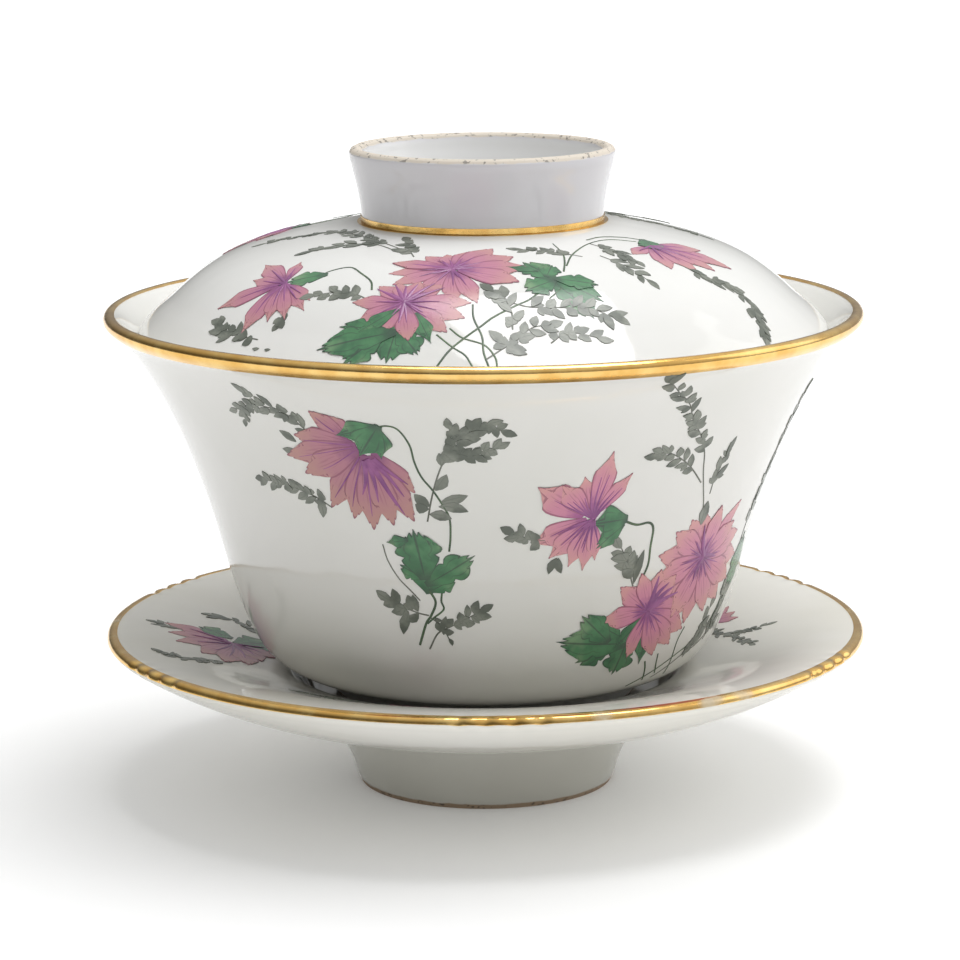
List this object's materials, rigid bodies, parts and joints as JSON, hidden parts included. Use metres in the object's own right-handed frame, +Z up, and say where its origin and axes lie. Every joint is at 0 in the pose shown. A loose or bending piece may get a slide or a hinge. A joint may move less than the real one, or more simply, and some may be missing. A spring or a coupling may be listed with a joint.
{
  "type": "gaiwan",
  "caption": "Lidded porcelain tea bowl on a footed saucer: flared gilt-lipped bowl, domed lid with a ring grip, painted flower sprays.",
  "frame": {"origin": "centre of the saucer's foot on the table", "axes": "+Z up along the common axis of saucer, bowl and lid; -Y towards the front of the painted decoration"},
  "size_m": [0.1118, 0.1118, 0.0943],
  "materials": {
    "glazed_porcelain": "clear gloss glaze over white body",
    "gilding": "burnished fired gold, rubbed",
    "pink_enamel": "gloss overglaze enamel",
    "green_enamel": "gloss overglaze enamel",
    "grey_enamel": "thin overglaze enamel line"
  },
  "bodies": {
    "saucer": {"saucer_dish": "glazed_porcelain", "saucer_foot_ring": "glazed_porcelain", "saucer_rim_gilding": "gilding"},
    "bowl": {"bowl_body": "glazed_porcelain", "bowl_foot_ring": "glazed_porcelain", "bowl_rim_gilding": "gilding"},
    "lid": {"lid_dome": "glazed_porcelain", "lid_grip_ring": "glazed_porcelain", "lid_grip_gilding": "gilding"}
  },
  "joints": [
    {"name": "bowl_lift", "type": "slide", "parent": "saucer", "child": "bowl", "axis": [0, 0, 1], "range_m": [0, 0.05]},
    {"name": "lid_lift", "type": "slide", "parent": "bowl", "child": "lid", "axis": [0, 0, 1], "range_m": [0, 0.05]}
  ]
}
